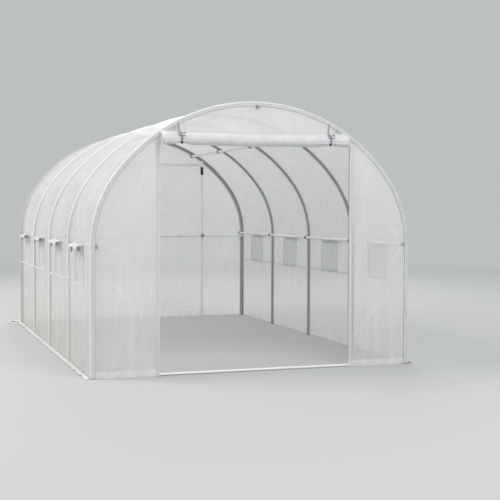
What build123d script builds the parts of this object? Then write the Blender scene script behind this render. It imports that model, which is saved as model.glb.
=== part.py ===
"""Walk-in garden polytunnel: five bent steel hoops, purlins and two framed gables under a
film cover, with the film door rolled up over the doorway and a rolled-up window in each bay.

Millimetres. X across the tunnel, Y from the front gable to the back, Z up. The origin is on
the ground in the middle of the footprint, and the front gable faces -Y.
"""

import os
from math import cos, degrees, radians, sin, sqrt, tan

from build123d import *

# Overall size of the cover
tunnel_width = 2500.0
tunnel_height = 2000.0
tunnel_length = 4000.0
bay_count = 4

# Hoop shape: straight legs, a shoulder bend each side and one wide crown arc
leg_height = 940.0
shoulder_turn = 35.7

# Steel tube and the clearance left where one piece lies on another
tube_diameter = 25.0
tube_wall = 1.2
fit_gap = 0.3

# Cover film, its wrapped edges and its skirt on the ground
film_thickness = 2.0
band_face_width = 34.0
band_side_width = 40.0
skirt_width = 45.0
rear_corner_reach = 140.0
corner_tongue_length = 150.0
corner_tongue_width = 45.0

# Purlins: roof ones by their angle off the ridge, side ones by their drop below the leg joint
roof_purlin_angle = 29.5
side_purlin_drop = 4.0
rail_purlin_space = 6.0
purlin_end_inset = 6.0

# Doorway in the front gable
doorway_width = 1490.0
lintel_drop = 24.0
threshold_diameter = 20.0
door_hem_width = 24.0

# Film door rolled up in front of the lintel
door_roll_diameter = 90.0
door_roll_margin = 22.0
door_roll_shift = -22.0
door_roll_rise = 21.0
door_roll_turns = 4
door_roll_pitch = 7.0
door_roll_tail = 12.0
door_tie_inset = 142.0
door_tie_length = 82.0

# Windows in the side walls, one in the middle of each bay, placed from the top of the legs
window_length = 330.0
window_height = 275.0
window_top_drop = 14.0
net_overlap = 12.0
net_thickness = 1.5
sill_height = 18.0
front_sill_overlap = 15.0
other_sill_hoop_gap = 25.7
window_roll_overlap = 5.0
window_roll_diameter = 48.0
window_roll_turns = 2
window_roll_pitch = 9.0
window_roll_tail = 18.0
window_roll_drop = 9.0
window_tie_length = 30.0

# Tie straps around the rolls, and the clamps where two tubes cross
tie_width = 20.0
tie_thickness = 1.5
clamp_wall = 3.0
clamp_gap = 0.5
clamp_flat_count = 8

os.makedirs("parts", exist_ok=True)

# Arch geometry, worked out once for the outer face of the cover
half_width = tunnel_width / 2
turn = radians(shoulder_turn)
slant = 1 / cos(turn) - tan(turn)
shoulder_radius = (tunnel_height - leg_height - half_width * slant) / (1 - slant)
shoulder_x = half_width - shoulder_radius
crown_z = leg_height - shoulder_x * tan(turn)
crown_radius = tunnel_height - crown_z

# Insets from the outer face of the cover to what lies inside it
tube_radius = tube_diameter / 2
film_inset = film_thickness + fit_gap
hoop_inset = film_inset + tube_radius
purlin_inset = hoop_inset + tube_diameter + fit_gap

# Planes along the tunnel
end_y = tunnel_length / 2
hoop_end_y = end_y - film_thickness - fit_gap - hoop_inset
bay_length = 2 * hoop_end_y / bay_count
hoop_names = ["front_hoop", "inner_hoop_1", "inner_hoop_2", "inner_hoop_3", "rear_hoop"]

# Arch sections on one side: centre x and z, radius of the cover, first and last angle
roof_purlin_turn = 90 - roof_purlin_angle
shoulder_section = (shoulder_x, leg_height, shoulder_radius, 0, shoulder_turn)
low_crown_section = (0, crown_z, crown_radius, shoulder_turn, roof_purlin_turn)
top_crown_section = (0, crown_z, crown_radius, roof_purlin_turn, 90)
crown_half_section = (0, crown_z, crown_radius, shoulder_turn, 90)
cover_sections = [shoulder_section, low_crown_section, top_crown_section]
hoop_sections = [shoulder_section, crown_half_section]


def crown_height(x, inset):
    """Height of the crown arc over a place across the tunnel, so far inside the cover."""
    return crown_z + sqrt((crown_radius - inset) ** 2 - x**2)


def crown_point(angle, inset):
    """Across and up of a point on the crown arc, at an angle off the ridge."""
    reach = crown_radius - inset
    return reach * sin(radians(angle)), crown_z + reach * cos(radians(angle))


def save(builder, label):
    """Names the finished piece and writes it."""
    builder.part.label = label
    export_step(builder.part, f"parts/{label}.step")


def arch_arc(section, side, inset):
    """Centre, radius, first angle and turn of one arch section, less half a joint gap each end."""
    centre_x, centre_z, cover_radius, first, last = section
    reach = cover_radius - inset
    half_joint = degrees(fit_gap / 2 / reach)
    start = first if side > 0 else 180 - last
    return (side * centre_x, centre_z), reach, start + half_joint, last - first - 2 * half_joint


def arch_strip(section, side, width):
    """Flat sketch of one arch section of the cover as a curved strip, so wide."""
    centre, reach, start, span = arch_arc(section, side, 0)
    with BuildSketch() as strip:
        with BuildLine():
            outside = CenterArc(centre, reach, start, span)
            inside = CenterArc(centre, reach - width, start, span)
            Line(outside @ 0, inside @ 0)
            Line(outside @ 1, inside @ 1)
        make_face()
    return strip.sketch


def hoop_path(section, side, y):
    """Centre line of a hoop's tube along one arch section."""
    with BuildLine(Plane.XZ.offset(-y)) as path:
        CenterArc(*arch_arc(section, side, hoop_inset))
    return path.wire()


def gable_outline(inset):
    """Flat sketch of the whole gable, so far in from the outer face of the cover."""
    half = half_width - inset
    shoulder, crown = shoulder_radius - inset, crown_radius - inset
    with BuildSketch() as outline:
        with BuildLine():
            Polyline((-half, leg_height), (-half, 0), (half, 0), (half, leg_height))
            CenterArc((shoulder_x, leg_height), shoulder, 0, shoulder_turn)
            CenterArc((0, crown_z), crown, shoulder_turn, 180 - 2 * shoulder_turn)
            CenterArc((-shoulder_x, leg_height), shoulder, 180 - shoulder_turn, shoulder_turn)
        make_face()
    return outline.sketch


def tube_ring(diameter=tube_diameter):
    """Sketch of a tube's cross section."""
    Circle(diameter / 2)
    Circle(diameter / 2 - tube_wall, mode=Mode.SUBTRACT)


# Hoops: two straight legs, two shoulder bends and two crown halves, plugged end to end.
# The next piece closes every end, so no bore shows and the hoop's tubes are drawn solid.
for number, name in enumerate(hoop_names):
    hoop_y = -hoop_end_y + number * bay_length
    with BuildPart() as hoop:
        with BuildSketch(Plane.XY):
            with Locations(*[(side * (half_width - hoop_inset), hoop_y) for side in (-1, 1)]):
                Circle(tube_radius)
        extrude(amount=leg_height - fit_gap / 2)
        for side in (-1, 1):
            for section in hoop_sections:
                path = hoop_path(section, side, hoop_y)
                with BuildSketch(Plane(origin=path @ 0, z_dir=path % 0)):
                    Circle(tube_radius)
                sweep(path=path)
    save(hoop, name)

# Purlins: straight tubes under the hoops, from the front hoop to the rear one
roof_x, roof_z = crown_point(roof_purlin_angle, purlin_inset)
side_x, side_z = half_width - purlin_inset, leg_height - side_purlin_drop
purlin_places = {
    "ridge_purlin": crown_point(0, purlin_inset),
    "roof_purlin_left": (-roof_x, roof_z),
    "roof_purlin_right": (roof_x, roof_z),
    "side_purlin_left": (-side_x, side_z),
    "side_purlin_right": (side_x, side_z),
}
purlin_half_length = hoop_end_y + tube_radius - purlin_end_inset
for name, place in purlin_places.items():
    with BuildPart() as purlin:
        with BuildSketch(Plane.XZ):
            with Locations(place):
                tube_ring()
        extrude(amount=purlin_half_length, both=True)
    save(purlin, name)

# Gable posts: upright tubes under each end hoop, their tops coped round it
post_x = doorway_width / 2 + tube_radius
post_top = crown_height(post_x, hoop_inset)
for gable, gable_y in (("front", -hoop_end_y), ("rear", hoop_end_y)):
    for side_name, side in (("left", -1), ("right", 1)):
        with BuildPart() as post:
            with BuildSketch(Plane.XY):
                with Locations((side * post_x, gable_y)):
                    tube_ring()
            extrude(amount=post_top)
            path = hoop_path(crown_half_section, side, gable_y)
            with BuildSketch(Plane(origin=path @ 0, z_dir=path % 0)):
                Circle(tube_radius + fit_gap)
            sweep(path=path, mode=Mode.SUBTRACT)
        save(post, f"{gable}_post_{side_name}")

# Lintels and door threshold: level tubes between the posts, their ends coped round them
lintel_z = crown_height(post_x + tube_radius, hoop_inset + tube_radius) - lintel_drop
level_tubes = {
    "front_lintel": (-hoop_end_y, lintel_z, tube_diameter),
    "rear_lintel": (hoop_end_y, lintel_z, tube_diameter),
    "door_threshold": (-hoop_end_y, threshold_diameter / 2, threshold_diameter),
}
for name, (tube_y, tube_z, diameter) in level_tubes.items():
    with BuildPart() as level_tube:
        with BuildSketch(Plane.YZ):
            with Locations((tube_y, tube_z)):
                tube_ring(diameter)
        extrude(amount=post_x, both=True)
        with BuildSketch(Plane.XY):
            with Locations((-post_x, tube_y), (post_x, tube_y)):
                Circle(tube_radius + fit_gap)
        extrude(amount=tunnel_height, mode=Mode.SUBTRACT)
    save(level_tube, name)

# Rear mid rail: one tube across the inside of the rear posts, just under the side purlins
rail_y = hoop_end_y - tube_diameter - fit_gap
rail_z = side_z - tube_diameter - rail_purlin_space
with BuildPart() as rear_mid_rail:
    with BuildSketch(Plane.YZ):
        with Locations((rail_y, rail_z)):
            tube_ring()
    extrude(amount=half_width - hoop_inset, both=True)
save(rear_mid_rail, "rear_mid_rail")

# Tube clamp: pressed steel in eight flats round the lower tube, with two cheeks up the sides
# of the upper one
clamp_bore = tube_radius + clamp_gap
clamp_half = clamp_bore + clamp_wall
crossing_drop = tube_diameter + fit_gap
with BuildPart() as clamp:
    with BuildSketch(Plane.XZ):
        with Locations((0, -(crossing_drop + clamp_half) / 2)):
            Rectangle(2 * clamp_half, crossing_drop + clamp_half)
        low_corners = vertices().group_by(Axis.Y)[0]
        chamfer(low_corners, length=clamp_half / 2)
        with Locations((0, -crossing_drop)):
            RegularPolygon(clamp_bore, clamp_flat_count, major_radius=False, mode=Mode.SUBTRACT)
    extrude(amount=clamp_half, both=True)
    with BuildSketch(Plane.YZ):
        with Locations((0, -clamp_bore / 2)):
            Rectangle(2 * clamp_bore, clamp_bore + clamp_gap)
    extrude(amount=clamp_half, both=True, mode=Mode.SUBTRACT)

# One clamp at each crossing, trimmed flush where an end hoop backs onto the gable film
clamp_ways = {
    "ridge_purlin": (0, 1),
    "roof_purlin_left": (-sin(radians(roof_purlin_angle)), cos(radians(roof_purlin_angle))),
    "roof_purlin_right": (sin(radians(roof_purlin_angle)), cos(radians(roof_purlin_angle))),
    "side_purlin_left": (-1, 0),
    "side_purlin_right": (1, 0),
}
with BuildPart() as tube_clamps:
    for name, (out_x, out_z) in clamp_ways.items():
        place_x, place_z = purlin_places[name]
        for number in range(bay_count + 1):
            hoop_y = -hoop_end_y + number * bay_length
            middle = (place_x + out_x * crossing_drop, hoop_y, place_z + out_z * crossing_drop)
            with Locations(Plane(middle, x_dir=(out_z, 0, -out_x), z_dir=(out_x, 0, out_z))):
                add(clamp.part)
    for side in (-1, 1):
        with Locations(Plane((side * post_x, hoop_end_y, rail_z), x_dir=(0, 0, 1), z_dir=(0, 1, 0))):
            add(clamp.part)
    split(bisect_by=Plane.XZ.offset(hoop_end_y + tube_radius), keep=Keep.BOTTOM)
    split(bisect_by=Plane.XZ.offset(-hoop_end_y - tube_radius), keep=Keep.TOP)
save(tube_clamps, "tube_clamps")

# Side walls of film: flat sheets on the straight legs, with a window cut out in each bay
cover_half_length = end_y - band_side_width - fit_gap
window_top = leg_height - window_top_drop
window_z = window_top - window_height / 2
window_places = [bay_length * (number + 0.5) - hoop_end_y for number in range(bay_count)]
window_sites = [(y, window_z) for y in window_places]
for side_name, side in (("left", -1), ("right", 1)):
    outer_x = side * half_width
    with BuildPart() as wall_cover:
        with BuildSketch(Plane.YZ.offset(outer_x)):
            with Locations((0, leg_height / 2 - fit_gap / 4)):
                Rectangle(2 * cover_half_length, leg_height - fit_gap / 2)
            with Locations(*window_sites):
                Rectangle(window_length, window_height, mode=Mode.SUBTRACT)
        extrude(amount=-side * film_thickness)
    save(wall_cover, f"{side_name}_wall_cover")

# Roof cover: curved film over the shoulders and the crown, with a seam along each joint line
with BuildPart() as roof_cover:
    for side in (-1, 1):
        for section in cover_sections:
            with BuildSketch(Plane.XZ):
                add(arch_strip(section, side, film_thickness))
            extrude(amount=cover_half_length, both=True)
save(roof_cover, "roof_cover")

# Gable film: it lies on the end hoop and posts, behind the face of the wrapped edge band
gable_face_y = end_y - film_thickness - fit_gap
doorway_half = doorway_width / 2
for side_name, side in (("left", -1), ("right", 1)):
    with BuildPart() as front_panel:
        with BuildSketch(Plane.XZ.offset(gable_face_y)):
            add(gable_outline(film_inset))
            with Locations((side * (doorway_half + half_width / 2), tunnel_height / 2)):
                Rectangle(half_width, tunnel_height, mode=Mode.INTERSECT)
        extrude(amount=-film_thickness)
    save(front_panel, f"front_panel_{side_name}")

panel_low_z = lintel_z - tube_radius
with BuildPart() as front_panel_top:
    with BuildSketch(Plane.XZ.offset(gable_face_y)):
        add(gable_outline(film_inset))
        with Locations((0, panel_low_z + tunnel_height / 2)):
            Rectangle(doorway_width - 2 * fit_gap, tunnel_height, mode=Mode.INTERSECT)
    extrude(amount=-film_thickness)
save(front_panel_top, "front_panel_top")

with BuildPart() as rear_panel:
    with BuildSketch(Plane.XZ.offset(-gable_face_y)):
        add(gable_outline(film_inset))
    extrude(amount=film_thickness)
save(rear_panel, "rear_panel")

# Wrapped edge bands: the hem of the cover, folded over each end hoop onto the gable
for name, way in (("front_edge_band", 1), ("rear_edge_band", -1)):
    face_plane = Plane.XZ.offset(way * end_y)
    with BuildPart() as edge_band:
        for width, depth in ((band_face_width, film_thickness), (film_thickness, band_side_width)):
            for side in (-1, 1):
                with BuildSketch(face_plane):
                    with Locations((side * (half_width - width / 2), leg_height / 2 - fit_gap / 4)):
                        Rectangle(width, leg_height - fit_gap / 2)
                extrude(amount=-way * depth)
                for section in cover_sections:
                    with BuildSketch(face_plane):
                        add(arch_strip(section, side, width))
                    extrude(amount=-way * depth)
    save(edge_band, name)

# Door hems: the wrapped edges of the doorway, in front of the posts
hem_top = crown_height(post_x + door_hem_width / 2, band_face_width) - fit_gap
for side_name, side in (("left", -1), ("right", 1)):
    with BuildPart() as door_hem:
        with BuildSketch(Plane.XZ.offset(end_y)):
            with Locations((side * post_x, hem_top / 2)):
                Rectangle(door_hem_width, hem_top)
        extrude(amount=-film_thickness)
    save(door_hem, f"door_hem_{side_name}")


def scroll(diameter, pitch, turns, tail):
    """Flat sketch of a rolled-up sheet: half circles that shrink inwards, and a tail going up.

    The sheet's back touches the local Y axis, and the roll lies on the +X side of it.
    """
    shift = pitch / 2
    half = film_thickness / 2
    with BuildSketch() as coil:
        with BuildLine():
            for face in (half, -half):
                centre, reach, way = diameter / 2, diameter / 2 - half, 1
                Line((half - face, tail), (half - face, 0))
                for _ in range(2 * turns):
                    CenterArc((centre, 0), reach + face, 90 + 90 * way, 180)
                    inner_end = centre - reach
                    centre, reach, way = centre + way * shift, reach - shift, -way
            Line((0, tail), (film_thickness, tail))
            Line((inner_end - half, 0), (inner_end + half, 0))
        make_face()
    return coil.sketch


def tie_loop(diameter, leg):
    """Flat sketch of a strap round the far side of a roll, with one end carried on up."""
    centre, inner = diameter / 2, diameter / 2 + fit_gap
    outer, back = inner + tie_thickness, film_thickness + fit_gap
    front, top = back + tie_thickness, inner + leg
    with BuildSketch() as loop:
        with BuildLine():
            CenterArc((centre, 0), outer, -90, 180)
            CenterArc((centre, 0), inner, -90, 180)
            Polyline((centre, -outer), (0, -outer), (0, -inner), (centre, -inner))
            Polyline((centre, inner), (back, inner), (back, top), (front, top), (front, outer))
            Line((front, outer), (centre, outer))
        make_face()
    return loop.sketch


# Rolled-up film door and its two ties, in front of the lintel
door_roll_z = lintel_z + door_roll_rise
door_roll_length = doorway_width - 2 * door_roll_margin
door_tie_reach = door_roll_length / 2 - door_tie_inset
roll_face_y = end_y + fit_gap


def door_face_plane(x):
    """Plane across the door roll at x, with local X pointing out of the gable and Y up."""
    return Plane((x, -roll_face_y, door_roll_z), x_dir=(0, -1, 0), z_dir=(-1, 0, 0))


with BuildPart() as door_roll:
    with BuildSketch(door_face_plane(door_roll_shift + door_roll_length / 2)):
        door_tail = door_roll_diameter / 2 + door_roll_tail
        add(scroll(door_roll_diameter, door_roll_pitch, door_roll_turns, door_tail))
    extrude(amount=door_roll_length)
save(door_roll, "door_roll")

with BuildPart() as door_ties:
    for x in (door_roll_shift - door_tie_reach, door_roll_shift + door_tie_reach):
        with BuildSketch(door_face_plane(x + tie_width / 2)):
            add(tie_loop(door_roll_diameter, door_tie_length))
        extrude(amount=tie_width)
save(door_ties, "door_ties")

# Windows: a net inside each cut-out, a stiff sill under it, and the flap rolled up and tied
wall_face = half_width + fit_gap
window_roll_z = window_top - window_roll_drop
window_roll_length = window_length + 2 * window_roll_overlap
sill_z = window_top - window_height - sill_height / 2
front_sill_length = window_length + 2 * front_sill_overlap
other_sill_length = bay_length - 2 * other_sill_hoop_gap


def wall_plane(side, y):
    """Plane across a window roll at y, with local X pointing out of the wall and Y up."""
    return Plane((side * wall_face, y, window_roll_z), x_dir=(side, 0, 0), z_dir=(0, -side, 0))


for side_name, side in (("left", -1), ("right", 1)):
    with BuildPart() as window_nets:
        with BuildSketch(Plane.YZ.offset(side * (half_width - film_inset))):
            with Locations(*[(y, window_z - net_overlap / 2) for y in window_places]):
                Rectangle(window_length + 2 * net_overlap, window_height + net_overlap)
        extrude(amount=-side * net_thickness)
    save(window_nets, f"{side_name}_window_nets")

    with BuildPart() as window_sills:
        with BuildSketch(Plane.YZ.offset(side * wall_face)):
            with Locations((window_places[0], sill_z)):
                Rectangle(front_sill_length, sill_height)
            with Locations(*[(y, sill_z) for y in window_places[1:]]):
                Rectangle(other_sill_length, sill_height)
        extrude(amount=side * film_thickness)
    save(window_sills, f"{side_name}_window_sills")

    with BuildPart() as window_rolls:
        for y in window_places:
            with BuildSketch(wall_plane(side, y + side * window_roll_length / 2)):
                window_tail = window_roll_diameter / 2 + window_roll_tail
                add(scroll(window_roll_diameter, window_roll_pitch, window_roll_turns, window_tail))
            extrude(amount=window_roll_length)
    save(window_rolls, f"{side_name}_window_rolls")

    with BuildPart() as window_ties:
        for y in window_places:
            with BuildSketch(wall_plane(side, y + side * tie_width / 2)):
                add(tie_loop(window_roll_diameter, window_tie_length))
            extrude(amount=tie_width)
    save(window_ties, f"{side_name}_window_ties")

# Ground skirts: the cover's bottom edge laid flat outside the side walls and the rear gable
for side_name, side in (("left", -1), ("right", 1)):
    with BuildPart() as skirt:
        with BuildSketch(Plane.XY):
            with Locations((side * (wall_face + skirt_width / 2), 0)):
                Rectangle(skirt_width, tunnel_length)
        extrude(amount=film_thickness)
    save(skirt, f"{side_name}_ground_skirt")

# The rear skirt reaches as far back as the door roll does in front
rear_skirt_reach = fit_gap + door_roll_diameter + fit_gap + tie_thickness
rear_skirt_width = rear_skirt_reach - fit_gap
with BuildPart() as rear_ground_skirt:
    with BuildSketch(Plane.XY):
        with Locations((0, end_y + fit_gap + rear_skirt_width / 2)):
            Rectangle(tunnel_width + 2 * rear_corner_reach, rear_skirt_width)
        for side in (-1, 1):
            corner_x = side * (half_width + rear_corner_reach)
            with BuildLine():
                Polyline(
                    (corner_x, end_y + fit_gap),
                    (corner_x - side * corner_tongue_width, end_y + fit_gap),
                    (corner_x, end_y + fit_gap - corner_tongue_length),
                    close=True,
                )
            make_face()
    extrude(amount=film_thickness)
save(rear_ground_skirt, "rear_ground_skirt")
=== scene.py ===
"""Looks of a walk-in garden polytunnel: galvanised hoops and purlins under a woven film cover, with
the film door rolled up over the doorway and a rolled-up window flap in each bay of both sides.

Metres. X across the tunnel, Y from the front gable to the back, Z up, as in the frame.
"""

import math
from functools import partial

import bpy
import numpy as np
from mathutils import Matrix, Vector


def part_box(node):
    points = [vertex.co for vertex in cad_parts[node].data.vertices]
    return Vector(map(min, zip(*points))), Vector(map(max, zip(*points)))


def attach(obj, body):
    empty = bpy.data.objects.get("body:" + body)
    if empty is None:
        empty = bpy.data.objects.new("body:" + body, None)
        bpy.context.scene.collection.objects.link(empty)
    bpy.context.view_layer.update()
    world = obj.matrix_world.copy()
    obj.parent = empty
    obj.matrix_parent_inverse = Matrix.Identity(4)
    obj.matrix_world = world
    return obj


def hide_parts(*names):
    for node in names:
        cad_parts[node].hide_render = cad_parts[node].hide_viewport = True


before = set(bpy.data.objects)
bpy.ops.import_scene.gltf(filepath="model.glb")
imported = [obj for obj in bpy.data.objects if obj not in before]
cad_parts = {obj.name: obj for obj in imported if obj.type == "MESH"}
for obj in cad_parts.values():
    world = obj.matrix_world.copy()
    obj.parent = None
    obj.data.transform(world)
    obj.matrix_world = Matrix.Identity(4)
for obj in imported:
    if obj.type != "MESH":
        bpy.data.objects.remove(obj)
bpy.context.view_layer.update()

# Camera: the photograph's eye, 1.2 m above the ground, in front of the tunnel and to its left. It
# looks a little right of the tunnel's length and a little down.
eye_place = (-2.620, -9.312, 1.212)
eye_yaw, eye_pitch, eye_roll = 19.2855, 2.274, 0.193
eye_lens, sensor_side = 75.43, 36.0

eye_turn = (
    Matrix.Rotation(math.radians(-eye_yaw), 4, "Z")
    @ Matrix.Rotation(math.radians(90 - eye_pitch), 4, "X")
    @ Matrix.Rotation(math.radians(eye_roll), 4, "Z")
)
camera_data = bpy.data.cameras.new("photo_eye")
camera_data.lens = eye_lens
camera_data.sensor_width = sensor_side
camera = bpy.data.objects.new("photo_eye", camera_data)
camera.matrix_world = Matrix.Translation(eye_place) @ eye_turn
bpy.context.scene.collection.objects.link(camera)
bpy.context.scene.camera = camera


# Tubes: hoops, purlins, posts, lintels and rails of round galvanised steel tube with a faint
# cloudy spangle. All are the same zinc, but the hoops get a darker grey as painted shade and the
# straight tubes a near-white as painted light.
hoop_zinc_painted_shade, straight_zinc_painted_light = ("ABACAA", "858684"), ("F3F3F2", "DCDCDA")
spangle_size = 0.012


def colour(code):
    """The linear colour of an sRGB hex value."""
    parts = np.array([int(code[start : start + 2], 16) for start in (0, 2, 4)]) / 255
    linear = np.where(parts <= 0.04045, parts / 12.92, ((parts + 0.055) / 1.055) ** 2.4)
    return (*linear.tolist(), 1.0)


def node(tree, kind, inputs=(), out=0, **settings):
    """Adds a node with its settings, fills its inputs with values or links, and gives one output.

    inputs go by name or number, or else in order. out is an output's name or number, or None for
    all of them.
    """
    made = tree.nodes.new("ShaderNode" + kind)
    for name, value in settings.items():
        setattr(made, name, value)
    for key, value in inputs.items() if isinstance(inputs, dict) else enumerate(inputs):
        if isinstance(value, bpy.types.NodeSocket):
            tree.links.new(value, made.inputs[key])
        else:
            made.inputs[key].default_value = value
    return made.outputs if out is None else made.outputs[out]


def new_material(name):
    """An empty material and the way to add a node to it."""
    material = bpy.data.materials.new(name)
    material.use_nodes = True
    material.node_tree.nodes.clear()
    return material, partial(node, material.node_tree)


def galvanised_steel(name, pale, dark):
    """Zinc on steel: a cloudy spangle between two greys, rougher where the zinc is darker."""
    material, add = new_material(name)
    place = add("TexCoord", out="Object")
    cloud = add("TexNoise", {"Vector": place, "Scale": 1 / spangle_size, "Detail": 3.0})
    grain = add("TexVoronoi", {"Vector": place, "Scale": 2 / spangle_size})
    mixed = add("Math", (cloud, grain), operation="MULTIPLY")
    blend = {0: mixed, 6: colour(pale), 7: colour(dark)}
    tint = add("Mix", blend, 2, data_type="RGBA")
    rough = add("MapRange", (cloud, 0, 1, 0.34, 0.52))
    skin = add("Bump", {"Height": grain, "Strength": 0.08, "Distance": 0.001})
    metal = {"Base Color": tint, "Roughness": rough, "Normal": skin, "Metallic": 0.25}
    add("OutputMaterial", {"Surface": add("BsdfPrincipled", metal)}, None)
    return material


# The hoops' darker zinc is painted shade and the straight tubes' paler zinc is painted light, on
# one and the same zinc.
hoop_steel = galvanised_steel("galvanised_steel_painted_shade", *hoop_zinc_painted_shade)
straight_steel = galvanised_steel("galvanised_steel_painted_light", *straight_zinc_painted_light)
straight_words = ("purlin", "post", "lintel", "rail", "threshold")
for name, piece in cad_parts.items():
    if "hoop" in name or any(word in name for word in straight_words):
        piece.data.materials.clear()
        piece.data.materials.append(hoop_steel if "hoop" in name else straight_steel)


# Clamps and their bolts: pressed steel saddles, zinc plated, one at each crossing of two tubes.
# A hexagon bolt with a washer closes each of them from the inside of the tunnel.
plating_pale, plating_dark = "A6A9AA", "7A7D7F"
clamp_reach, end_clamp_inset = 0.016, 0.003
bolt_across, bolt_height = 0.010, 0.006
washer_radius, washer_height = 0.009, 0.0015
bolt_sides = 12


def plated_steel():
    """Bright zinc plating that has gone dull in places, smoother than the dipped tubes."""
    material, add = new_material("zinc_plated_steel")
    place = add("TexCoord", out="Object")
    dull = add("TexNoise", {"Vector": place, "Scale": 90.0, "Detail": 4.0})
    blend = {0: dull, 6: colour(plating_pale), 7: colour(plating_dark)}
    tint = add("Mix", blend, 2, data_type="RGBA")
    rough = add("MapRange", (dull, 0, 1, 0.28, 0.5))
    metal = {"Base Color": tint, "Roughness": rough, "Metallic": 0.9}
    add("OutputMaterial", {"Surface": add("BsdfPrincipled", metal)}, None)
    return material


def stacked(*axes):
    """Grids or lines spread to one size, as the coordinates of one grid of points."""
    return np.stack(np.broadcast_arrays(*axes), axis=-1)


def surface(points, flat=None, keep=None, loop=False, capped=False):
    """A grid of points, rows by columns by 3, as vertices, faces and the flat place of each corner.

    A face takes its corners along the rows first, so it faces the way of row step times column
    step. A caller turns a grid round by stepping through it backwards on one side of the tunnel.
    loop joins the last column to the first, and capped closes the first and last rows.
    """
    points = np.asarray(points, float)
    rows, columns = points.shape[:2]
    number = np.arange(rows * columns).reshape(rows, columns)
    if loop:
        number = np.concatenate([number, number[:, :1]], axis=1)
    if flat is None:
        flat = stacked(np.arange(rows)[:, None], np.arange(number.shape[1])) * 0.01
    corners = ((slice(None, -1), slice(None, -1)), (slice(1, None), slice(None, -1)),
               (slice(1, None), slice(1, None)), (slice(None, -1), slice(1, None)))
    faces = np.stack([number[corner] for corner in corners], axis=-1)
    places = np.stack([flat[corner] for corner in corners], axis=-2)
    chosen = np.ones(faces.shape[:2], bool) if keep is None else keep
    faces, places = faces[chosen].tolist(), places[chosen].reshape(-1, 2)
    if capped:
        ends = [number[0, :columns], number[-1, :columns][::-1]]
        faces += [end.tolist() for end in ends]
        places = np.concatenate([places, np.zeros((2 * columns, 2))])
    return points.reshape(-1, 3), faces, places


def make(name, surfaces, fold=None):
    """Joins grids into one smooth object, with a flat map in metres and an optional fold mark."""
    vertices, faces, places, first = [], [], [], 0
    for points, own_faces, own_places in surfaces:
        vertices.append(points)
        faces += [[first + corner for corner in face] for face in own_faces]
        places.append(own_places)
        first += len(points)
    mesh = bpy.data.meshes.new(name)
    mesh.from_pydata(np.concatenate(vertices), [], faces)
    layer = mesh.uv_layers.new(name="flat")
    layer.data.foreach_set("uv", np.concatenate(places).astype(np.float32).ravel())
    if fold is not None:
        mark = mesh.attributes.new("fold", "FLOAT", "POINT")
        mark.data.foreach_set("value", fold.astype(np.float32).ravel())
    mesh.shade_smooth()
    piece = bpy.data.objects.new(name, mesh)
    bpy.context.scene.collection.objects.link(piece)
    return piece


def fit(piece, material, slot, *nodes):
    """Gives a piece its material and body, and hides the solids that it stands for. slot is not
    used.
    """
    piece.data.materials.append(material)
    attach(piece, "root")
    if nodes:
        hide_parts(*nodes)
    return piece


def bolt(seat, out):
    """A washer and a hexagon head that stand on a seat: six corners are half a flat over cos 30."""
    turn = np.arange(bolt_sides) * 2 * np.pi / bolt_sides
    across = np.cross(out, (0.0, 1.0, 0.0))
    corner = np.where(np.arange(bolt_sides) % 2 == 0, 1.0, math.cos(math.pi / 6))
    head = bolt_across / 2 / math.cos(math.pi / 6) * corner
    washer = np.full(bolt_sides, washer_radius)
    rings = [(washer, 0), (washer, washer_height), (head, washer_height), (head, bolt_height),
             (0.8 * head, bolt_height + 0.001)]
    points = [
        seat
        + np.outer(radius * np.cos(turn), across)
        + np.outer(radius * np.sin(turn), (0, 1, 0))
        + rise * out
        for radius, rise in rings
    ]
    return surface(np.stack(points)[:, ::-1], loop=True, capped=True)


clamp_steel = plated_steel()
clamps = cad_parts["tube_clamps"]
clamps.data.materials.clear()
clamps.data.materials.append(clamp_steel)


def middle(name):
    """The middle of a solid's box."""
    low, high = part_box(name)
    return (np.array(low) + np.array(high)) / 2


hoop_names = ["front_hoop", "inner_hoop_1", "inner_hoop_2", "inner_hoop_3", "rear_hoop"]
hoop_places = np.array([middle(name)[1] for name in hoop_names])
purlin_turns = {
    "ridge_purlin": 0.0,
    "roof_purlin_left": -29.5,
    "roof_purlin_right": 29.5,
    "side_purlin_left": -90.0,
    "side_purlin_right": 90.0,
}
bolts = []
for name, turn in purlin_turns.items():
    out = np.array([math.sin(math.radians(turn)), 0.0, math.cos(math.radians(turn))])
    for hoop_y in hoop_places:
        inward = -np.sign(hoop_y) * end_clamp_inset if abs(hoop_y) > hoop_places[-2] else 0.0
        seat = middle(name) * (1, 0, 1) + (0, hoop_y + inward, 0) - clamp_reach * out
        bolts.append(bolt(seat, -out))
fit(make("clamp_bolts", bolts), clamp_steel, "clamp")


# Cover: one sheet of woven film from the ground on the left, over the hoops, to the ground on the
# right. It is pulled tight over the hoops, sinks between them and has a hole for each window.
tunnel_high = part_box("roof_cover")[1]
half_width, tunnel_height = tunnel_high.x, tunnel_high.z
leg_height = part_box("left_wall_cover")[1].z
end_y = -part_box("front_edge_band")[0].y
crown_half_turn = math.radians(54.3)
film_step, tight_step, film_inset = 0.0175, 0.008, 0.001
tight_folds = ((-1.57, 0.965, -1.86, 1.14), (-1.50, 0.985, -1.90, 1.36))
tight_width, tight_height = 0.012, 0.005
rib_half, rib_crest = 0.012, 0.004
roof_sink, wall_sink, roof_wave, wall_wave = 0.017, 0.010, 0.0028, 0.0021
window_length, window_height, window_top_drop = 0.330, 0.275, 0.014
low_alpha, high_alpha, thread_alpha, fold_alpha = 0.50, 0.84, 0.09, 0.42
film_pale, film_shade, film_low, hem_white_and_painted_highlight = "F7F7F7", "EBEBEC", "E7E7E1", "FCFCFC"
thread_pitch, thread_width = 0.009, 0.0018

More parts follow.
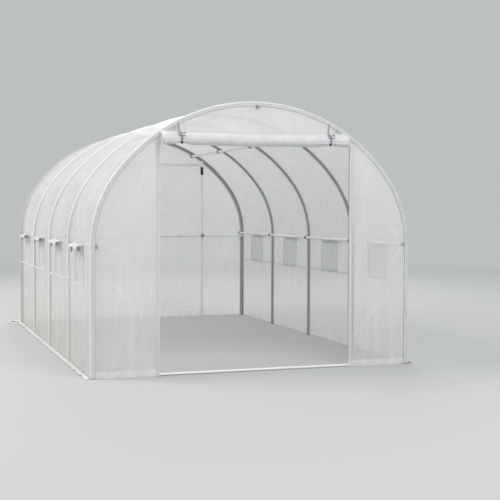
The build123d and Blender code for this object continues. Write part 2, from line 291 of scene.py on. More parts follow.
slant = (1 - math.cos(crown_half_turn)) / math.sin(crown_half_turn)
shoulder_radius = (tunnel_height - leg_height - half_width * slant) / (1 - slant)
shoulder_x = half_width - shoulder_radius
crown_z = leg_height - shoulder_x / math.tan(crown_half_turn)
crown_radius = tunnel_height - crown_z
crown_girth = crown_radius * crown_half_turn
leg_girth = crown_girth + shoulder_radius * (math.pi / 2 - crown_half_turn)
half_girth = leg_girth + leg_height
bay_length = hoop_places[1] - hoop_places[0]
window_places = (hoop_places[:-1] + hoop_places[1:]) / 2
window_top = leg_height - window_top_drop


def arch(girth, out=0.0):
    """Points and outward ways of the arch at a girth from the ridge, right plus, in X and Z.

    The crown arc turns with girth over its radius, the shoulder arc takes over from its end, and
    the leg goes straight down. out moves a point along its outward way.
    """
    reach, side = np.abs(girth), np.sign(girth)
    shoulder = crown_half_turn + (reach - crown_girth) / shoulder_radius
    turn = np.where(reach < crown_girth, reach / crown_radius, np.minimum(shoulder, math.pi / 2))
    centre_x = np.where(reach < crown_girth, 0.0, shoulder_x)
    centre_z = np.where(reach < crown_girth, crown_z, leg_height) - np.maximum(reach - leg_girth, 0)
    radius = np.where(reach < crown_girth, crown_radius, shoulder_radius)
    x = side * (centre_x + (radius + out) * np.sin(turn))
    return x, centre_z + (radius + out) * np.cos(turn)


def soft(value, low, high):
    """0 below low and 1 above high, with a smooth rise of 3t squared less 2t cubed between."""
    share = np.clip((value - low) / (high - low), 0, 1)
    return share * share * (3 - 2 * share)


def ripple(a, b, seed, a_size, b_size, count=9):
    """A sum of cosine waves of random heading, about a_size by b_size each, from about -1 to 1."""
    draw = np.random.default_rng(seed)
    total = 0
    for _ in range(count):
        a_turn = 2 * np.pi / a_size * draw.uniform(-1, 1)
        b_turn = 2 * np.pi / b_size * draw.uniform(0.5, 1.3)
        total = total + np.cos(a * a_turn + b * b_turn + draw.uniform(0, 2 * np.pi))
    return total / math.sqrt(count) / 1.4


def crease(a, b, start, end, width):
    """A ridge from start to end: 1 less the square of distance over width, times its bell curve."""
    start, end = np.array(start), np.array(end)
    way = end - start
    share = np.clip(((a - start[0]) * way[0] + (b - start[1]) * way[1]) / (way @ way), 0, 1)
    gap = ((a - start[0] - share * way[0]) ** 2 + (b - start[1] - share * way[1]) ** 2) / width**2
    fade = 0.35 + 0.65 * np.sin(np.pi * np.clip(share, 0.03, 0.97))
    return (1 - gap) * np.exp(-gap) * fade


def wall_girth(z, side):
    """Girth of a height on the straight wall of one side."""
    return side * (leg_girth + leg_height - z)


def cover_creases():
    """Start, end, width, height and painted highlight of the folds in the cover, in girth and
    length.

    A fan of folds rises from each window roll, upright folds hang under each window, and slanting
    ones run from the hoops to the corners of each bay. Two tight ones cross the left front bay.
    """
    draw = np.random.default_rng(41)
    roll_top = leg_height + 0.03
    found = []
    for side in (-1, 1):
        for window_y in window_places:
            knot = (wall_girth(roll_top, side), window_y + draw.uniform(-0.02, 0.02))
            for lean in (-0.34, -0.2, -0.07, 0.09, 0.22, 0.36):
                tip_girth = wall_girth(roll_top + draw.uniform(0.16, 0.42), side)
                tip = (tip_girth, window_y + lean + draw.uniform(-0.03, 0.03))
                size = draw.uniform(0.022, 0.034), draw.uniform(0.002, 0.004)
                found.append((knot, tip, *size, 0.12))
            for offset in (-0.36, -0.22, -0.1, 0.03, 0.14, 0.27, 0.4):
                place = window_y + offset + draw.uniform(-0.03, 0.03)
                top = wall_girth(draw.uniform(0.5, 0.64), side)
                foot = wall_girth(draw.uniform(0.02, 0.25), side)
                drift = draw.uniform(-0.03, 0.03)
                size = draw.uniform(0.016, 0.024), draw.uniform(0.002, 0.0045)
                found.append(((top, place), (foot, place + drift), *size, 0.12))
            for corner in (-1, 1):
                hoop_y = window_y + corner * (bay_length / 2 - 0.03)
                low = (wall_girth(leg_height + draw.uniform(0.1, 0.3), side), hoop_y)
                high_girth = side * draw.uniform(0.75, 1.15)
                high = (high_girth, window_y + corner * draw.uniform(0.02, 0.2))
                size = draw.uniform(0.02, 0.032), draw.uniform(0.003, 0.006)
                found.append((low, high, *size, 0.15))
                rib = (wall_girth(draw.uniform(0.3, 0.7), side), hoop_y)
                edge = (wall_girth(draw.uniform(0.75, 0.9), side), window_y + corner * 0.2)
                found.append((rib, edge, 0.02, draw.uniform(0.0015, 0.003), 0.12))
    for _ in range(64):
        window_y = draw.choice(window_places)
        girth = draw.uniform(-1.6, 1.6)
        start = (girth, window_y + draw.uniform(-0.44, 0.0))
        end = (girth + draw.uniform(-0.09, 0.09), start[1] + draw.uniform(0.12, 0.42))
        found.append((start, end, draw.uniform(0.014, 0.022), draw.uniform(0.003, 0.006), 0.42))
    for low_y, low_z, high_y, high_z in tight_folds:
        start, end = (wall_girth(low_z, -1), low_y), (wall_girth(high_z, -1), high_y)
        found.append((start, end, tight_width, tight_height, 0.5))
    return found


cover_folds = cover_creases()


def cover_out(girth, y):
    """How far the film stands out from the hoops' cover line, and a mark of painted highlight along
    its folds and over each hoop.

    Between two hoops it sinks by a depth times 1 less the power 2.4 of the distance from the bay's
    middle. Long ripples run from hoop to hoop on the roof and up and down on the walls.
    """
    share = np.clip((y - hoop_places[0]) / bay_length, 0, len(window_places) - 1e-9) % 1
    sink = 1 - np.abs(2 * share - 1) ** 2.4
    sink = np.where(np.abs(y) > hoop_places[-1], 0, sink)
    on_wall = soft(np.abs(girth), leg_girth - 0.25, leg_girth + 0.1)
    near_ground = soft(np.abs(girth), half_girth - 0.25, half_girth)
    depth = roof_sink * (1 - on_wall) + wall_sink * on_wall * (1 - 0.7 * near_ground)
    roof_ripple = ripple(y, girth, 7, 1.4, 0.13) * (1 - on_wall)
    wall_ripple = ripple(girth, y, 8, 0.9, 0.085) * on_wall
    out = -depth * sink
    folds, crease_highlight = np.zeros_like(out), np.zeros_like(out)
    # Each crease adds height to the film and a painted highlight to its mark.
    for start, end, width, height, white in cover_folds:
        shape = crease(girth, y, start, end, width)
        folds += height * shape
        crease_highlight += white * np.abs(shape)
    waves = roof_wave * roof_ripple + wall_wave * wall_ripple
    out += sink * waves + np.minimum(1, 3 * sink) * folds
    past_end = np.maximum(np.abs(y) - hoop_places[-1], 0)
    off_hoop = bay_length / 2 * (1 - np.abs(2 * share - 1)) + past_end
    rib = np.exp(-((off_hoop / rib_half) ** 2))
    out -= rib_crest * (1 - rib)
    under_band = soft(np.abs(y), end_y - 0.05, end_y - 0.035)
    # A painted highlight along each hoop, standing in for the light on the tube under the film.
    pressed = 1 - soft(off_hoop, 0.7 * rib_half, 2.8 * rib_half)
    mark = np.clip(crease_highlight, 0, 0.5) * sink + pressed * (1 - under_band)
    return out * (1 - under_band) - 0.0012 * under_band, np.clip(mark, 0, 1)


def lines_through(stops, step):
    """Numbers about a step apart that pass through each stop."""
    stops = sorted(set(np.round(stops, 5)))
    counts = [max(2, round((b - a) / step) + 1) for a, b in zip(stops, stops[1:])]
    runs = [np.linspace(a, b, count)[:-1] for a, b, count in zip(stops, stops[1:], counts)]
    return np.concatenate([*runs, stops[-1:]])


def crossed_threads(add, flat, pitch, width):
    """1 along the middle of each thread of a square net, and 0 from its width on."""
    halves = add("SeparateXYZ", {"Vector": flat}, None)
    threads = []
    for axis in (0, 1):
        wave = add("Math", (halves[axis], pitch / 2), operation="PINGPONG")
        threads.append(add("MapRange", (wave, width, 0.0)))
    return add("Math", threads, operation="MAXIMUM")


def woven_film():
    """Clear polyethylene film on a net of flat threads 9 mm apart, hazy and partly see-through.

    It lets light through in two ways, straight and scattered. It is hazier high up, where dew and
    dust stay on it. A fold mark makes it whiter and less see-through: painted highlight where it
    lies on a hoop and along its creases, and the real double film of a gable's ground hem. Fine
    creases fan out from each window's tie, and upright ones run down the walls, each with a painted
    highlight.
    """
    material, add = new_material("woven_polyethylene_film")
    place = add("TexCoord", out="Object")
    flat = add("UVMap", uv_map="flat")
    weave = crossed_threads(add, flat, thread_pitch, thread_width)
    cloud = add("TexNoise", {"Vector": place, "Scale": 2.2, "Detail": 4.0})
    axes = add("SeparateXYZ", {"Vector": place}, None)
    height = axes["Z"]
    shifted = add("Math", (axes["Y"], window_places[0]), operation="SUBTRACT")
    aside = add("Math", (shifted, -bay_length / 2, bay_length / 2), operation="WRAP")
    above = add("Math", (height, leg_height - 0.02), operation="SUBTRACT")
    around = add("Math", (aside, above), operation="ARCTAN2")
    bay = add("Math", (shifted, aside), operation="SUBTRACT")
    from_tie = add("CombineXYZ", {"X": aside, "Y": above})
    away = add("VectorMath", {0: from_tie}, "Value", operation="LENGTH")
    polar = add("CombineXYZ", {"X": around, "Y": away, "Z": bay})
    spokes = add("Mapping", {"Vector": polar, "Scale": (3.2, 2.0, 2.3)})
    drawn = add("Mapping", {"Vector": flat, "Scale": (1.2, 14.0, 1.0)})
    near_tie = add("MapRange", (away, 0.48, 0.05))
    on_wall = add("MapRange", (height, 1.1, 0.6, 0, 0.75))
    creases = []
    for vector, scale, region in ((spokes, 1.6, near_tie), (drawn, 1.0, on_wall)):
        streaks = add("TexNoise", {"Vector": vector, "Scale": scale, "Detail": 3.0})
        sharp = add("MapRange", (streaks, 0.47, 0.68))
        creases.append(add("Math", (sharp, region), operation="MULTIPLY"))
    creased = add("Math", creases, operation="MAXIMUM")
    marked = add("Attribute", out="Fac", attribute_name="fold")
    fold = add("Math", (creased, 0.26, marked), operation="MULTIPLY_ADD", use_clamp=True)
    low = add("MapRange", (height, 0.7, 0.0))
    # The fold share whitens the film as painted highlight along the hoops and creases; on the
    # gables it also whitens the real double film of the ground hem.
    tint = colour(film_shade)
    for share, tone in ((cloud, film_pale), (low, film_low), (fold, hem_white_and_painted_highlight)):
        tint = add("Mix", {0: share, 6: tint, 7: colour(tone)}, 2, data_type="RGBA")
    haze = (height, 0.8, 1.9, low_alpha, high_alpha)
    alpha = add("MapRange", haze, interpolation_type="SMOOTHSTEP")
    worn = add("MapRange", (cloud, 0, 1, -0.07, 0.07))
    alpha = add("Math", (alpha, worn), operation="ADD")
    for share, amount in ((weave, thread_alpha), (fold, fold_alpha)):
        alpha = add("Math", (share, amount, alpha), operation="MULTIPLY_ADD")
    alpha = add("Math", (alpha, 0.97), operation="MINIMUM")
    relief = add("TexNoise", {"Vector": place, "Scale": 28.0, "Detail": 3.0})
    for share, amount in ((weave, 0.12), (creased, 1.8)):
        relief = add("Math", (share, amount, relief), operation="MULTIPLY_ADD")
    skin = add("Bump", {"Height": relief, "Strength": 0.4, "Distance": 0.004})
    sheen = {"Base Color": tint, "Roughness": 0.34, "IOR": 1.5, "Normal": skin}
    gloss = add("BsdfPrincipled", sheen)
    scatter = add("BsdfTranslucent", {"Color": tint, "Normal": skin})
    through = add("MapRange", (fold, 0, 1, 0.42, 0.24))
    both = add("MixShader", (through, gloss, scatter))
    seen = add("MixShader", (alpha, add("BsdfTransparent"), both))
    add("OutputMaterial", {"Surface": seen}, None)
    return material


film = woven_film()
window_y_stops = [y + way * window_length / 2 for y in window_places for way in (-1, 1)]
rib_stops = [y + way * rib_half / 2 for y in hoop_places[1:-1] for way in range(-4, 5)]
film_ends = [-end_y + 0.012, end_y - 0.012, -end_y + 0.05, end_y - 0.05]
tight_y, tight_z = np.arange(-1.92, -1.54, tight_step), np.arange(0.95, 1.38, tight_step)
cover_y = lines_through([*film_ends, *window_y_stops, *rib_stops, *tight_y], film_step)
window_edges = (window_top, window_top - window_height)
window_girths = [wall_girth(z, side) for z in window_edges for side in (-1, 1)]
girth_stops = [-half_girth, half_girth, *window_girths, *wall_girth(tight_z, -1)]
cover_girth = lines_through(girth_stops, film_step)
girth_grid, y_grid = np.meshgrid(cover_girth, cover_y, indexing="ij")
out_grid, cover_painted_highlight = cover_out(girth_grid, y_grid)
x_grid, z_grid = arch(girth_grid, out_grid - film_inset)
girth_middle = np.abs(girth_grid[:-1, :-1] + girth_grid[1:, 1:]) / 2
y_middle = (y_grid[:-1, :-1] + y_grid[1:, 1:]) / 2
z_middle = leg_girth + leg_height - girth_middle
in_window_height = (z_middle < window_top) & (z_middle > window_top - window_height)
off_window = np.abs(y_middle[..., None] - window_places).min(axis=-1)
cover_kept = ~(in_window_height & (off_window < window_length / 2))
cover_grid = surface(stacked(x_grid, y_grid, z_grid), stacked(girth_grid, y_grid), cover_kept)
cover = make("cover_film", [cover_grid], cover_painted_highlight)
fit(cover, film, "film", "roof_cover", "left_wall_cover", "right_wall_cover")


# Edge bands: the cover's hem, three layers of the same film welded together, folded round each end
# hoop onto the gable. The flap on the gable is cut straight, so it gathers where the arch bends.
band_side, band_face = 0.040, 0.034
# The hem's grey 9C9EA0 is painted shade for the bands and sleeves; its white FAFAFA is painted
# light on the sleeves and roll creases, and the real white of a roll's end hem.
hem_pale, hem_shade, painted_light_and_end_hem_white, hem_painted_shade = "F8F8F8", "ECEDEF", "FAFAFA", "9C9EA0"
hem_thickness = 0.0012
gather_length = 0.045
bend_shade_line, bend_shade_half = 0.016, 0.004


def folded_film():
    """Film folded to three layers: nearly opaque white, with its weave pressed flat and matt.

    A fold mark above 0 makes it whiter: painted light on the door sleeves and the crease ridges of
    the rolls, and the real double film of a roll's end hem. A mark below 0 makes it darker as
    painted shade, at the bands' bend and inner edge and at the sleeves' inner edge.
    """
    material, add = new_material("welded_film_hem")
    place = add("TexCoord", out="Object")
    cloud = add("TexNoise", {"Vector": place, "Scale": 16.0, "Detail": 5.0})
    fold = add("Attribute", out="Fac", attribute_name="fold")
    worn = add("MapRange", (cloud, 0.3, 0.7))
    painted_shading = add("MapRange", (fold, 0.0, -1.0))
    # Marks above 0 paint light and whiten the real end hems of the rolls; marks below 0 paint
    # shade.
    tint = colour(hem_shade)
    for share, tone in ((worn, hem_pale), (fold, painted_light_and_end_hem_white), (painted_shading, hem_painted_shade)):
        tint = add("Mix", {0: share, 6: tint, 7: colour(tone)}, 2, data_type="RGBA")
    flat = add("UVMap", uv_map="flat")
    bricks = {"Vector": flat, "Scale": 1 / thread_pitch, "Mortar Size": 0.06}
    weave = add("TexBrick", bricks, "Fac", offset=0.0)
    fine = add("TexNoise", {"Vector": place, "Scale": 60.0, "Detail": 3.0})
    relief = add("Math", (weave, 0.3, fine), operation="MULTIPLY_ADD")
    skin = add("Bump", {"Height": relief, "Strength": 0.4, "Distance": 0.003})
    rough = add("MapRange", (cloud, 0, 1, 0.36, 0.55))
    sheen = {"Base Color": tint, "Roughness": rough, "IOR": 1.5, "Normal": skin}
    gloss = add("BsdfPrincipled", sheen)
    scatter = add("BsdfTranslucent", {"Color": tint, "Normal": skin})
    both = add("MixShader", (0.20, gloss, scatter))
    add("OutputMaterial", {"Surface": both}, None)
    return material


def thicken(piece, thickness, offset=-1.0):
    """Gives a sheet its thickness: to the inside with offset -1, to both sides with 0."""
    wall = piece.modifiers.new("thickness", "SOLIDIFY")
    wall.thickness = thickness
    wall.offset = offset
    return piece


hem = folded_film()
band_girth = lines_through([-half_girth, half_girth], 0.012)
hoop_inset, hoop_depth = 0.0148, end_y - hoop_places[-1]
round_turn = np.linspace(0, np.pi / 2, 9)
on_hoop = hoop_inset * (np.cos(round_turn) - 1), hoop_depth * (1 - np.sin(round_turn))
band_out = np.concatenate([np.zeros(5), on_hoop[0], np.linspace(-0.019, -band_face, 5)])
side_depth = np.linspace(band_side, hoop_depth + 0.004, 5)
band_depth = np.concatenate([side_depth, on_hoop[1], np.zeros(5)])
# The band's mark is painted shade: a grey stripe where it turns from the hoop onto the gable face,
# and a dark line along its inner edge.
band_painted_shade = -0.45 * np.exp(-(((band_out + bend_shade_line) / bend_shade_half) ** 2))
band_painted_shade = band_painted_shade - soft(-band_out, band_face - 0.005, band_face)
for name, way in (("front_edge_band", -1), ("rear_edge_band", 1)):
    girth_grid, out_grid = np.meshgrid(band_girth, band_out, indexing="ij")
    on_face = soft(-out_grid, hoop_inset, band_face)
    on_side = soft(band_depth, hoop_depth, band_side)
    bent = 1 - soft(np.abs(girth_grid), leg_girth - 0.05, leg_girth + 0.1)
    gathers = ripple(out_grid, girth_grid, 11 + way, 0.4, gather_length) * (0.4 + 0.6 * bent)
    lift = ripple(out_grid, girth_grid, 14 + way, 0.6, 0.16)
    depth_grid = band_depth + on_face * (0.0006 + 0.0006 * gathers) + 0.0006 * lift * on_side
    out_grid = out_grid + 0.0010 * lift * on_face - on_side * (0.0004 - 0.0004 * gathers)
    x_grid, z_grid = arch(girth_grid, out_grid)
    points = stacked(x_grid, way * (end_y - np.maximum(depth_grid, 0)), z_grid)
    flat = stacked(girth_grid, np.linspace(0, 0.08, len(band_out)))
    painted_shading = np.broadcast_to(band_painted_shade, girth_grid.shape)[:, ::way]
    band = make(f"{name}_film", [surface(points[:, ::way], flat[:, ::way])], painted_shading)
    fit(thicken(band, hem_thickness), hem, "hem", name)


# Gable films: sheets of the cover's film stretched over the end hoop and the posts. The front one
# is cut out for the doorway, so it shows as a piece on each side and one over the lintel.
gable_depth, gable_inset = 0.0028, 0.004
post_x = middle("front_post_right")[0]
doorway_half = -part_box("front_panel_left")[1].x
front_lintel_z, rear_lintel_z = middle("front_lintel")[2], middle("rear_lintel")[2]
tube_radius = 0.0125
gable_step = 0.016
gable_sag = 0.005
ground_hem_height, ground_hem_white = 0.045, 0.55
seam_gap = 0.0003


def gable_top(x):
    """Height of the gable film at a place across: the crown circle, then the shoulder circle."""
    across = np.abs(x)
    past = np.maximum(across - shoulder_x, 0)
    crown = np.sqrt(np.maximum((crown_radius - gable_inset) ** 2 - across**2, 0))
    shoulder = np.sqrt(np.maximum((shoulder_radius - gable_inset) ** 2 - past**2, 0))
    on_crown = across < crown_radius * math.sin(crown_half_turn)
    return np.where(on_crown, crown_z + crown, leg_height + shoulder)


def gable_film(name, low_x, high_x, low_z, way, tubes_z, folds, seed, step):
    """A gable sheet: columns from a low edge up to the arch, sunk a little between the tubes.

    tubes_z are the heights of level tubes behind it, and folds its creases in X and Z.
    """
    posts = [x for x in (-post_x, post_x) if low_x < x < high_x]
    x_lines = lines_through([low_x, high_x, *posts], step)
    rows = round((gable_top(np.clip(0, low_x, high_x)) - low_z) / step)
    x_grid, share = np.meshgrid(x_lines, np.linspace(0, 1, max(2, rows)), indexing="ij")
    z_grid = low_z + share * (gable_top(x_grid) - low_z)
    off_edge = np.minimum(gable_top(x_grid) - z_grid, half_width - np.abs(x_grid))
    off_post = np.abs(np.abs(x_grid) - post_x) - tube_radius
    free = soft(off_edge - 2 * tube_radius, 0, 0.14) * soft(off_post, 0, 0.14)
    for tube_z in tubes_z:
        free = free * soft(np.abs(z_grid - tube_z) - tube_radius, 0, 0.12)
    mark = np.zeros_like(z_grid)
    for start, end, width, height in folds:
        mark = mark + height * crease(x_grid, z_grid, start, end, width)
    waves = 0.0016 * ripple(z_grid, x_grid, seed, 1.1, 0.11)
    waves = waves + 0.0010 * ripple(x_grid, z_grid, seed + 1, 0.5, 0.2)
    sunk = free * (gable_sag - waves) - np.minimum(1, 4 * free + 0.25) * mark
    depth = gable_depth + np.maximum(sunk, -0.0015)
    points = stacked(x_grid, way * (end_y - depth), z_grid)
    over_hem = soft(z_grid, ground_hem_height - 0.004, ground_hem_height + 0.012)
    ground_hem = ground_hem_white * (1 - over_hem) * (low_z == 0)
    # The fold mark whitens the creases as painted highlight, and the real double film of the ground
    # hem.
    fold = np.clip(0.3 * np.abs(mark) / 0.003 + ground_hem, 0, 1)
    sheet = surface(points[::-way], stacked(z_grid, x_grid)[::-way])
    piece = fit(make(f"{name}_film", [sheet], fold[::-way]), film, "film", name)


edge_x = half_width - gable_inset
left_folds = [
    ((-1.20, 0.945), (-1.10, 0.87), 0.012, 0.0045),
    ((-1.20, 0.945), (-1.03, 0.91), 0.011, 0.004),
    ((-1.20, 0.945), (-1.08, 1.06), 0.012, 0.003),
    ((-0.80, 1.60), (-0.98, 1.15), 0.02, 0.0014),
    ((-0.80, 0.35), (-1.15, 0.75), 0.02, 0.0014),
    ((-0.84, 0.05), (-0.92, 0.70), 0.018, 0.0012),
    ((-1.05, 0.03), (-1.02, 0.55), 0.018, 0.0012),
]
right_folds = [
    ((1.20, 0.945), (1.07, 0.72), 0.014, 0.0045),
    ((1.20, 0.945), (1.06, 1.12), 0.014, 0.003),
    ((0.80, 1.70), (0.93, 1.30), 0.02, 0.0016),
    ((0.84, 0.80), (0.88, 1.45), 0.02, 0.0016),
    ((0.80, 0.25), (1.12, 0.60), 0.02, 0.0014),
    ((0.98, 0.04), (0.95, 0.55), 0.018, 0.0014),
]
top_folds = [
    ((-0.59, 1.80), (-0.42, 1.90), 0.012, 0.0016),
    ((-0.59, 1.80), (-0.66, 1.86), 0.012, 0.0014),
    ((0.59, 1.80), (0.45, 1.90), 0.012, 0.0016),
    ((-0.30, 1.75), (0.05, 1.95), 0.02, 0.0012),
]
rear_folds = [
    ((-0.74, 1.0), (-0.1, 0.62), 0.05, 0.0026),
    ((0.74, 0.95), (0.28, 1.22), 0.045, 0.002),
    ((-0.72, 1.62), (-0.35, 1.30), 0.045, 0.0024),
    ((0.74, 1.64), (0.46, 1.38), 0.04, 0.0024),
    ((-1.2, 0.95), (-0.95, 0.70), 0.03, 0.0024),
    ((1.2, 0.95), (0.95, 0.66), 0.03, 0.0024),
    ((0.40, 0.04), (0.44, 0.50), 0.04, 0.002),
    ((-0.30, 0.04), (-0.36, 0.40), 0.04, 0.002),
]
gable_film("front_panel_left", -edge_x, -doorway_half, 0.0, -1, (), left_folds, 21, tight_step)
gable_film("front_panel_right", doorway_half, edge_x, 0.0, -1, (), right_folds, 24, tight_step)
top_half, top_low = doorway_half - seam_gap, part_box("front_panel_top")[0].z
top_edges = (-top_half, top_half, top_low)
gable_film("front_panel_top", *top_edges, -1, (front_lintel_z,), top_folds, 27, tight_step)
gable_film("rear_panel", -edge_x, edge_x, 0.0, 1, (rear_lintel_z,), rear_folds, 30, gable_step)


# Door hems: the cut edge of the front film, folded into a sleeve round each door post. The right
# one is trodden outwards at its foot.
sleeve_radius, sleeve_flap, sleeve_girth = 0.0134, 0.0014, 0.046
hem_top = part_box("door_hem_left")[1].z
foot_spread, foot_height = 0.020, 0.06
post_y = hoop_places[0]

sleeve_turn = np.radians(np.linspace(-115, 68, 17))
flap_across = np.linspace(0.0137, sleeve_radius + sleeve_flap, 3)
across = np.concatenate([sleeve_radius * np.sin(sleeve_turn), flap_across])
ahead = np.concatenate([sleeve_radius * np.cos(sleeve_turn), np.linspace(0.0124, 0.0128, 3)])
z_grid, across_grid = np.meshgrid(lines_through([0.0, hem_top], 0.012), across, indexing="ij")
flat = stacked(np.linspace(0, 0.06, len(across)), z_grid)
# The sleeve's mark: +1 over most of it whitens it as painted light, and -1 at its inner edge
# darkens it as painted shade.
painted_shading = 1 - 2 * soft(-across_grid, 0.8 * sleeve_radius, 0.97 * sleeve_radius)
for name, side in (("door_hem_left", -1), ("door_hem_right", 1)):
    bulge = 0.0006 * ripple(across_grid, z_grid, 33 + side, 0.2, 0.07)
    spread = foot_spread * (1 - soft(z_grid, 0.0, foot_height)) * (side > 0)
    x_grid = side * post_x + side * (across_grid * (1 + 12 * np.abs(bulge)) + spread)
    points = stacked(x_grid, post_y - ahead - bulge, z_grid)
    sheet = surface(points[:, ::-side], flat[:, ::-side])
    sleeve = make(f"{name}_sleeve", [sheet], painted_shading[:, ::-side])
    fit(thicken(sleeve, hem_thickness), hem, "hem", name)


# Door: the film of the doorway rolled up from the ground to the lintel, about nine turns, and
# pinched by two ties. Creases run into each tie from both sides.
door_pitch, door_turns = 0.0037, 9.4
door_low, door_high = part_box("door_roll")
door_radius = (door_high.y - door_low.y) / 2
door_centre_x, door_centre_z = middle("door_roll")[0], door_low.z + door_radius
door_length, door_tail = door_high.x - door_low.x, door_high.z - door_centre_z
tie_places = door_centre_x + np.array([-0.581, 0.581])
pinch_depth, wide_pinch, pinch_reach = 0.26, 0.12, 0.040
pinch_settle, roll_thickness = 0.35, 0.0016
door_sag = 0.010
tail_rows, fine_turns = 6, 1.2
wall_gap = 0.0006


def pinched(along, ties, reach):
    """Share of its radius that a roll keeps: a tight and a wide bell curve off at each tie."""
    gap = np.abs(along[..., None] - np.asarray(ties)) / reach
    wide = wide_pinch * np.exp(-((gap / 2.6) ** 2))
    return 1 - (pinch_depth * np.exp(-gap**2) + wide).sum(axis=-1)


def rolled(length, radius, pitch, turns, tail, ties, reach, seed, step, rows_a_turn):
    """A rolled sheet as along, away from the wall and up, with its flat map and fold mark.

    It comes down the wall to the roll's level, then turns under, up and over with a radius that
    falls by the pitch each turn. Ties pinch it, and creases fan out from them.
    """
    inner_rows = round((turns - fine_turns) * rows_a_turn / 3.5)
    inner_turn = np.linspace(fine_turns, turns, inner_rows + 1)[1:]
    outer_turn = np.linspace(0, fine_turns, round(fine_turns * rows_a_turn))
    spin = 2 * np.pi * np.concatenate([np.zeros(tail_rows), outer_turn, inner_turn])
    tail_rise = np.linspace(tail, 0.004, tail_rows)
    rise = np.concatenate([tail_rise, np.zeros(len(spin) - tail_rows)])[:, None]
    near_ties = [tie + reach * np.linspace(-2.2, 2.2, 29) for tie in ties]
    places = [*lines_through([-length / 2, length / 2], step), *np.ravel(near_ties)]
    spin_grid, along = np.meshgrid(spin, np.unique(np.round(places, 3)), indexing="ij")
    keep = pinched(along, ties, reach)
    nearest = np.abs(along[..., None] - np.asarray(ties)).min(axis=-1)
    fan = np.exp(-nearest / (2.4 * reach)) * np.minimum(1, 1.4 * nearest / reach)
    phase = np.cos(seed * np.arange(4))
    ridges = [np.cos(rate * spin_grid + 4 * part) for rate, part in zip((5, 7, 9, 13), phase)]
    crumple = fan * (1 - 1.6 * np.abs(sum(ridges) / 2))
    lumps = ripple(spin_grid * radius, along, seed, 0.5, 0.45)
    layer = radius - pitch * spin_grid / (2 * np.pi)
    shrink = (keep - 0.10 * crumple + 0.012 * lumps) * layer
    loose = 0.0005 * ripple(spin_grid * radius, along, seed + 3, 0.15, 0.12)
    away = radius * (1 - pinch_settle * (1 - keep)) + shrink * np.cos(spin_grid) + loose
    up = -shrink * np.sin(spin_grid) + rise - 0.002 * lumps * (rise == 0)
    on_wall = wall_gap + 0.5 * (away - wall_gap) * (1 - rise / tail)
    away = np.where(rise > 0, on_wall, np.maximum(away, wall_gap))
    turned = (radius - pitch * spin[1:] / (2 * np.pi)) * np.diff(spin)
    run = np.concatenate([[0], np.cumsum(np.abs(np.diff(rise[:, 0])) + turned)])
    end_hem = soft(np.abs(along), length / 2 - 0.018, length / 2 - 0.014)
    # The mark whitens the crease ridges by the ties as painted highlight, and the real double film
    # of each end hem.
    mark = np.clip(0.5 * crumple + end_hem, 0, 1)
    return along, away, up, stacked(along, run[:, None]), mark, float(run[-1])


def door_drop(along):
    """How much lower the door's roll hangs at a place along it, most at its left end."""
    return door_sag * (1 - soft(along, -0.1, door_length / 2))


door_size = (door_length, door_radius, door_pitch, door_turns, door_tail)
along, away, up, flat, mark, door_run = rolled(
    *door_size, tie_places - door_centre_x, pinch_reach, 51, 0.016, 64
)
level = door_centre_z + up - door_drop(along)
points = stacked(door_centre_x + along, -(end_y + away), level)
door = make("door_roll_film", [surface(points, flat)], mark)
fit(thicken(door, roll_thickness, 0.0), hem, "roll", "door_roll")


# Ties: grey woven tape, sewn to the cover over each roll, led round it and closed with a bow. The
# tape is laid as a flat ribbon along a smooth line through a few given points.
tape_pale, tape_dark, toggle_dark = "B4B5BA", "8E8F96", "232326"
tape_width, tape_thickness = 0.0125, 0.0012
pinch_keep = 1 - pinch_depth - wide_pinch
ring_turns = range(0, 361, 30)
seam_top, seam_inset, hang_level = 1.866, 0.026, 1.782


def woven_tape():
    """Polypropylene tape: matt grey with cross threads about 2 mm apart, and its dark toggles."""
    material, add = new_material("woven_polypropylene_tape")
    flat = add("UVMap", uv_map="flat")
    place = add("TexCoord", out="Object")
    threads = {"Vector": flat, "Scale": 80.0, "Distortion": 0.6}
    rows = add("TexWave", threads, "Fac", bands_direction="Y")
    cloud = add("TexNoise", {"Vector": place, "Scale": 45.0, "Detail": 3.0})
    fold = add("Attribute", out="Fac", attribute_name="fold")
    tint = colour(tape_dark)
    for share, tone in ((cloud, tape_pale), (fold, toggle_dark)):
        tint = add("Mix", {0: share, 6: tint, 7: colour(tone)}, 2, data_type="RGBA")
    skin = add("Bump", {"Height": rows, "Strength": 0.5, "Distance": 0.0006})
    cloth = {"Base Color": tint, "Normal": skin, "Roughness": 0.8, "Sheen Weight": 0.2}
    add("OutputMaterial", {"Surface": add("BsdfPrincipled", cloth)}, None)
    return material


def smooth_line(points, count):
    """A smooth line through points: each run blends the parabolas through its two ends."""
    points = np.asarray(points, float)
    ends = np.concatenate([[2 * points[0] - points[1]], points, [2 * points[-1] - points[-2]]])
    share = np.linspace(0, len(points) - 1, count)
    run = np.minimum(share.astype(int), len(points) - 2)
    t = (share - run)[:, None]
    a, b, c, d = (ends[run + offset] for offset in range(4))
    bend, twist = 2 * a - 5 * b + 4 * c - d, 3 * b - a - 3 * c + d
    return 0.5 * (2 * b + (c - a) * t + bend * t**2 + twist * t**3)


